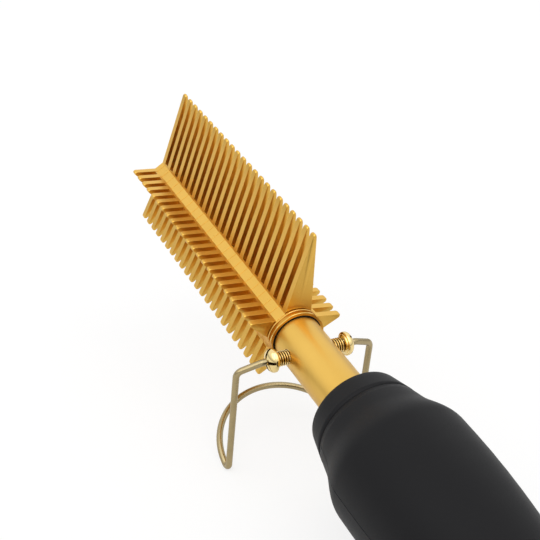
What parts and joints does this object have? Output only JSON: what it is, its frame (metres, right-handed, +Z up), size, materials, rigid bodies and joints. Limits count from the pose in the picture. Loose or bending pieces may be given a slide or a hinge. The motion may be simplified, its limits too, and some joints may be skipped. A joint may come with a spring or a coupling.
{
  "type": "hot comb",
  "caption": "Electric hot comb with a star-section metal comb head, round grip with push buttons, swivelling cord gland and a folding wire stand it rests on.",
  "frame": {"origin": "middle of the bounding box's bottom face, on the table that the wire stand's feet and the handle's tail rest on", "axes": "+X level, towards the comb's far end; +Y to the left seen from the handle; +Z up. The barrel's axis lies in the plane y = 0 and rises towards +X by 10.03 degrees"},
  "size_m": [0.2968, 0.0506, 0.0999],
  "materials": {
    "anodised_gold": "satin gold anodised",
    "barrel_gold": "satin gold anodised",
    "bare_aluminium": "plain",
    "amber_film": "smooth film",
    "white_ceramic": "matt, stands in for ceramic and high-temperature plastic",
    "bare_brass": "plain",
    "black_seal": "matt",
    "plated_metal": "bright plated",
    "sleeved_lead": "matt silicone sleeve",
    "polished_gold": "polished, gold plated",
    "plated_wire": "dull brassy plating",
    "handle_black": "matt, soft to the touch",
    "panel_black": "satin",
    "button_grey": "satin",
    "clear_lens": "clear",
    "board_green": "lacquered board",
    "black_parts": "moulded",
    "bearing_plastic": "smooth",
    "gland_black": "matt"
  },
  "bodies": {
    "comb_and_handle": {"comb_head": "anodised_gold", "top_teeth": "anodised_gold", "left_side_teeth": "anodised_gold", "right_side_teeth": "anodised_gold", "left_lower_teeth": "anodised_gold", "right_lower_teeth": "anodised_gold", "comb_end_plug": "anodised_gold", "heater_fillers": "bare_aluminium", "heater_film": "amber_film", "ptc_stones": "white_ceramic", "heater_electrodes": "bare_brass", "barrel": "barrel_gold", "barrel_seal": "black_seal", "lead_spacer": "white_ceramic", "thermal_fuse": "plated_metal", "heater_leads": "sleeved_lead", "pivot_nuts": "polished_gold", "pivot_screw_left": "polished_gold", "pivot_screw_right": "polished_gold", "handle_collar": "handle_black", "handle_shell_upper": "handle_black", "handle_shell_lower": "handle_black", "barrel_holder": "white_ceramic", "barrel_pin": "plated_metal", "shell_screws": "plated_metal", "control_panel": "panel_black", "indicator_lens": "clear_lens", "circuit_board": "board_green", "board_parts": "black_parts", "switches": "black_parts", "supply_leads": "sleeved_lead", "contact_block": "white_ceramic", "swivel_bearing": "bearing_plastic"},
    "stand": {"stand_wire": "plated_wire"},
    "power_button": {"power_button": "button_grey"},
    "minus_button": {"minus_button": "button_grey"},
    "plus_button": {"plus_button": "button_grey"},
    "swivel": {"swivel_gland": "gland_black", "swivel_clip": "plated_metal"}
  },
  "joints": [
    {"name": "stand_fold", "type": "hinge", "parent": "comb_and_handle", "child": "stand", "pos_m": [0.02929, 0, 0.04366], "axis": [0, 1, 0], "range_deg": [-25, 100]},
    {"name": "power_button_press", "type": "slide", "parent": "comb_and_handle", "child": "power_button", "axis": [0.2922, 0, -0.9564], "range_m": [0, 0.0006], "stiffness_N_per_m": 700, "springref_m": -0.001},
    {"name": "minus_button_press", "type": "slide", "parent": "comb_and_handle", "child": "minus_button", "axis": [0.2922, 0, -0.9564], "range_m": [0, 0.0006], "stiffness_N_per_m": 700, "springref_m": -0.001},
    {"name": "plus_button_press", "type": "slide", "parent": "comb_and_handle", "child": "plus_button", "axis": [0.2922, 0, -0.9564], "range_m": [0, 0.0006], "stiffness_N_per_m": 700, "springref_m": -0.001},
    {"name": "cord_swivel", "type": "hinge", "parent": "comb_and_handle", "child": "swivel", "pos_m": [-0.1394, 0, 0.01331], "axis": [0.9847, 0, 0.1742], "continuous": true}
  ]
}
